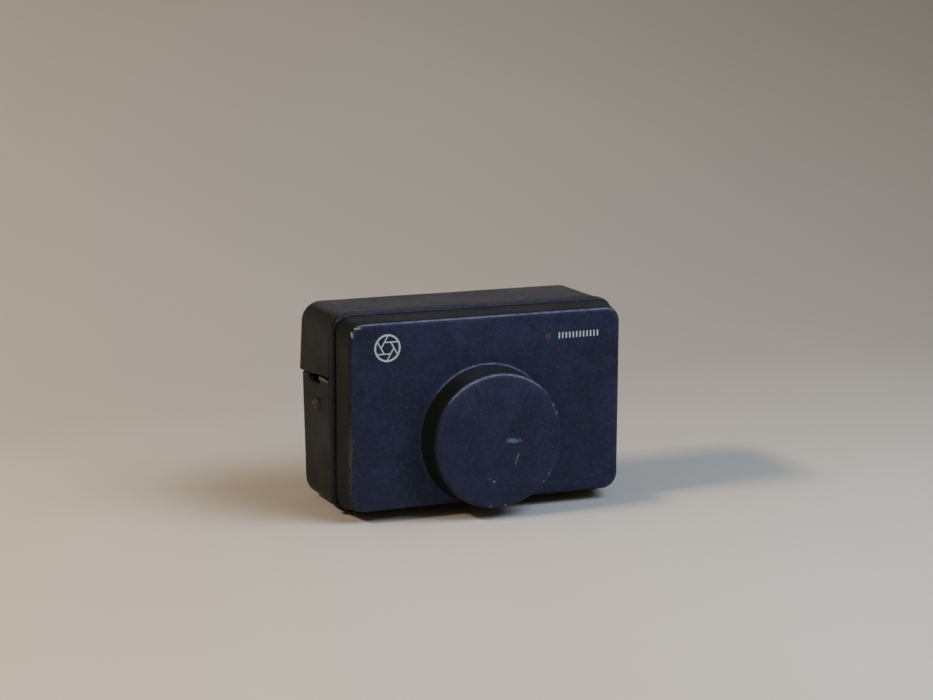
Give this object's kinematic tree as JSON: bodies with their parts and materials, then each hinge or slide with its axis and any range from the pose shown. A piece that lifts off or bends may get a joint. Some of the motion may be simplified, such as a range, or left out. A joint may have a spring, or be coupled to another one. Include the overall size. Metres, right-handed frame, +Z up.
{
  "type": "hard camera case",
  "caption": "Hard two-part case for a compact camera: a half case with a base screw, and a hinged cover with a round lens dome, held by a press-stud tab.",
  "frame": {"origin": "on the resting plane, under the middle of the closed case's outer box", "axes": "+Z up, -Y out of the lens dome, +X to the right as seen from the front"},
  "size_m": [0.1438, 0.0826, 0.094],
  "materials": {
    "leathercloth": "fine-grained black leathercloth over pressed board, satin, worn pale along its edges",
    "strap_leather": "plain black strap leather, satin",
    "velvet": "short dark brown velvet",
    "felt": "dense black felt",
    "fibre": "black vulcanised fibre, matt",
    "nickel": "nickel plate, lightly tarnished",
    "spring_steel": "blued spring steel",
    "aged_brass": "aged brass with brown oxide",
    "white_foil": "white hot-stamped foil",
    "red_foil": "red hot-stamped foil"
  },
  "bodies": {
    "half_case": {"half_case_shell": "leathercloth", "half_case_lining": "velvet", "camera_base_pad": "felt", "strap_rivet_left": "aged_brass", "strap_rivet_right": "aged_brass", "strap_rivet_burr_left": "aged_brass", "strap_rivet_burr_right": "aged_brass", "hinge_strip_rear": "strap_leather", "hinge_rivets_rear": "aged_brass", "screw_cup": "nickel", "cup_clamp_ring": "nickel", "closure_tab_anchor": "strap_leather", "closure_tab_rivets": "nickel", "closure_tab_rivet_burrs": "nickel"},
    "cover": {"front_cover_shell": "leathercloth", "edge_binding": "leathercloth", "top_cap_shell": "leathercloth", "joint_band": "fibre", "front_cover_lining": "velvet", "dome_lining": "velvet", "top_cap_lining": "velvet", "hinge_strip_front": "strap_leather", "hinge_rivets_front": "aged_brass", "press_stud": "nickel", "press_stud_eyelet": "nickel", "emblem_foil": "white_foil", "red_dot_foil": "red_foil", "mark_row_foil": "white_foil"},
    "closure_tab": {"closure_tab_strap": "strap_leather", "closure_tab_backing": "felt", "stud_socket": "nickel", "stud_socket_spring": "spring_steel", "stud_cap": "nickel"},
    "camera_screw": {"camera_screw_head": "nickel", "camera_screw_shank": "nickel", "camera_screw_clip": "spring_steel"}
  },
  "joints": [
    {"name": "cover_hinge", "type": "hinge", "parent": "half_case", "child": "cover", "pos_m": [0, 0, 0.0005], "axis": [1, 0, 0], "range_deg": [0, 130]},
    {"name": "closure_tab_hinge", "type": "hinge", "parent": "half_case", "child": "closure_tab", "pos_m": [0, 0.0399, 0.057], "axis": [-1, 0, 0], "range_deg": [0, 100]},
    {"name": "camera_screw_turn", "type": "hinge", "parent": "half_case", "child": "camera_screw", "pos_m": [0, 0.017, 0], "axis": [0, 0, 1], "continuous": true}
  ]
}
